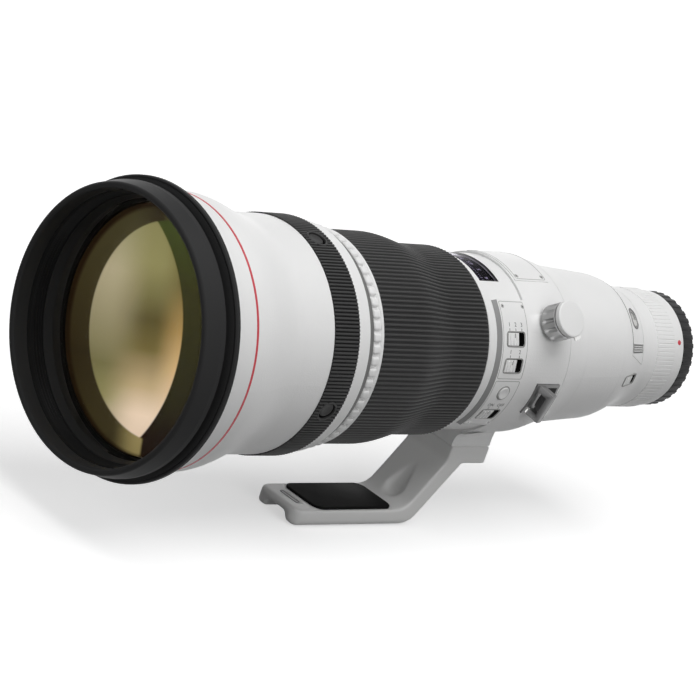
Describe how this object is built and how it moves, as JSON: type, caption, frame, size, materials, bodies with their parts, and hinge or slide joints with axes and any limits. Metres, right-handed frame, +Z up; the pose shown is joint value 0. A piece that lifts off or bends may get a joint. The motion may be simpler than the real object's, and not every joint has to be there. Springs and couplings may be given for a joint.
{
  "type": "super telephoto lens",
  "caption": "Super telephoto lens with focusing and playback rings, switch panels, drop-in filter drawer and a rotating tripod collar with a long foot.",
  "frame": {"origin": "centre of the bayonet mount's flange plane, on the optical axis", "axes": "+Y along the optical axis towards the camera, the front glass towards -Y; +Z up, opposite the tripod foot; +X towards the side with the switch panels"},
  "size_m": [0.168, 0.458, 0.1975],
  "materials": {
    "white_paint": "off-white textured paint, satin",
    "black_metal": "black anodised, satin",
    "shade_paint": "off-white smooth paint, satin",
    "bare_metal": "satin",
    "steel": "satin",
    "mount_plate": "polished",
    "black_rubber": "matte",
    "black_plastic": "matte",
    "red_line": "satin",
    "window": "gloss",
    "board": "satin",
    "lens": "coated, gloss"
  },
  "bodies": {
    "barrel": {"front_bumper": "black_metal", "hood_ring": "black_metal", "baffle_rings": "black_metal", "front_glass": "lens", "front_barrel": "white_paint", "accent_ring": "red_line", "second_cell": "black_metal", "second_glass": "lens", "stop_barrel": "black_metal", "grip_band": "black_rubber", "spacer_ring": "white_paint", "inner_barrel": "black_metal", "control_barrel": "white_paint", "distance_window": "window", "upper_switch_panel": "shade_paint", "lower_switch_panel": "shade_paint", "case_screws": "steel", "guide_tube": "bare_metal", "focus_motor": "bare_metal", "main_tube": "black_metal", "rear_barrel": "white_paint", "rear_grip": "white_paint", "rear_baffle": "black_metal", "mount_ring": "mount_plate", "contact_block": "black_plastic", "rear_glass": "lens", "iris_unit": "black_metal", "circuit_board": "board"},
    "stop_button_one": {"stop_button_1": "black_rubber"},
    "stop_button_two": {"stop_button_2": "black_rubber"},
    "stop_button_three": {"stop_button_3": "black_rubber"},
    "stop_button_four": {"stop_button_4": "black_rubber"},
    "playback": {"playback_ring": "white_paint"},
    "focusing": {"focus_ring": "black_metal", "focus_grip": "black_rubber"},
    "focus_mode": {"focus_mode_switch": "bare_metal"},
    "range": {"range_switch": "bare_metal"},
    "stabiliser_mode": {"stabiliser_switch": "bare_metal"},
    "rear_mode": {"rear_switch": "bare_metal"},
    "preset": {"preset_button": "shade_paint"},
    "collar": {"collar_ring": "white_paint", "nameplate": "bare_metal", "collar_screws": "steel", "strap_lugs": "steel", "foot": "shade_paint", "foot_arm": "shade_paint", "foot_pad": "black_rubber"},
    "knob": {"collar_knob": "shade_paint"},
    "drawer": {"filter_drawer": "white_paint", "filter_glass": "lens"},
    "pad_left": {"release_pad_left": "shade_paint"},
    "pad_right": {"release_pad_right": "shade_paint"},
    "cam": {"cam_ring": "bare_metal", "distance_scale": "black_metal"},
    "focus_group": {"focus_cell": "black_metal", "focus_glass": "lens"},
    "stabiliser_across": {"stabiliser_carrier": "bare_metal"},
    "stabiliser_group": {"stabiliser_cell": "black_metal", "stabiliser_glass": "lens"},
    "cap_turner": {"rear_cap": "black_plastic"}
  },
  "joints": [
    {"name": "stop_button_one_press", "type": "slide", "parent": "barrel", "child": "stop_button_one", "axis": [-0.2368, 0, -0.9715], "range_m": [0, 0.0008], "stiffness_N_per_m": 1200, "springref_m": -0.0005},
    {"name": "stop_button_two_press", "type": "slide", "parent": "barrel", "child": "stop_button_two", "axis": [-0.9715, 0, 0.2368], "range_m": [0, 0.0008], "stiffness_N_per_m": 1200, "springref_m": -0.0005},
    {"name": "stop_button_three_press", "type": "slide", "parent": "barrel", "child": "stop_button_three", "axis": [0.2368, 0, 0.9715], "range_m": [0, 0.0008], "stiffness_N_per_m": 1200, "springref_m": -0.0005},
    {"name": "stop_button_four_press", "type": "slide", "parent": "barrel", "child": "stop_button_four", "axis": [0.9715, 0, -0.2368], "range_m": [0, 0.0008], "stiffness_N_per_m": 1200, "springref_m": -0.0005},
    {"name": "playback_ring_turn", "type": "hinge", "parent": "barrel", "child": "playback", "pos_m": [0, -0.3034, 0], "axis": [0, 1, 0], "range_deg": [-8, 8], "stiffness_Nm_per_rad": 0.6},
    {"name": "focus_ring_turn", "type": "hinge", "parent": "barrel", "child": "focusing", "pos_m": [0, -0.25, 0], "axis": [0, 1, 0], "continuous": true},
    {"name": "focus_mode_slide", "type": "slide", "parent": "barrel", "child": "focus_mode", "axis": [0, 1, 0], "range_m": [0, 0.005]},
    {"name": "range_slide", "type": "slide", "parent": "barrel", "child": "range", "axis": [0, 1, 0], "range_m": [0, 0.005]},
    {"name": "stabiliser_switch_slide", "type": "slide", "parent": "barrel", "child": "stabiliser_mode", "axis": [0, 1, 0], "range_m": [0, 0.005]},
    {"name": "rear_switch_slide", "type": "slide", "parent": "barrel", "child": "rear_mode", "axis": [-0.316, 0.9484, 0.0276], "range_m": [0, 0.005]},
    {"name": "preset_press", "type": "slide", "parent": "barrel", "child": "preset", "axis": [-0.9871, 0, 0.1599], "range_m": [0, 0.0008], "stiffness_N_per_m": 900, "springref_m": -0.0005},
    {"name": "collar_turn", "type": "hinge", "parent": "barrel", "child": "collar", "pos_m": [0, -0.1475, 0], "axis": [0, 1, 0], "continuous": true},
    {"name": "knob_turn", "type": "hinge", "parent": "collar", "child": "knob", "pos_m": [0.04823, -0.1465, 0.03569], "axis": [0.8039, 0, 0.5948], "range_deg": [0, 360]},
    {"name": "drawer_pull", "type": "slide", "parent": "barrel", "child": "drawer", "axis": [0.454, 0, 0.891], "range_m": [0, 0.075]},
    {"name": "pad_left_press", "type": "slide", "parent": "drawer", "child": "pad_left", "axis": [-0.9259, 0, -0.3778], "range_m": [0, 0.0008], "stiffness_N_per_m": 900, "springref_m": -0.0005},
    {"name": "pad_right_press", "type": "slide", "parent": "drawer", "child": "pad_right", "axis": [0.2385, 0, -0.9711], "range_m": [0, 0.0008], "stiffness_N_per_m": 900, "springref_m": -0.0005},
    {"name": "cam_turn", "type": "hinge", "parent": "barrel", "child": "cam", "pos_m": [0, -0.186, 0], "axis": [0, 1, 0], "range_deg": [0, 75]},
    {"name": "focus_group_slide", "type": "slide", "parent": "barrel", "child": "focus_group", "axis": [0, -1, 0], "range_m": [0, 0.016]},
    {"name": "stabiliser_slide_across", "type": "slide", "parent": "barrel", "child": "stabiliser_across", "axis": [1, 0, 0], "range_m": [-0.0012, 0.0012], "stiffness_N_per_m": 600},
    {"name": "stabiliser_slide_up", "type": "slide", "parent": "stabiliser_across", "child": "stabiliser_group", "axis": [0, 0, 1], "range_m": [-0.0012, 0.0012], "stiffness_N_per_m": 1500, "springref_m": 0.0003},
    {"name": "cap_pull", "type": "slide", "parent": "barrel", "child": "cap_turner", "axis": [0, 1, 0], "range_m": [0, 0.03]}
  ],
  "couplings": [
    {"joint": "focus_group_slide", "follows": "cam_turn", "m_per_rad": 0.012223}
  ]
}
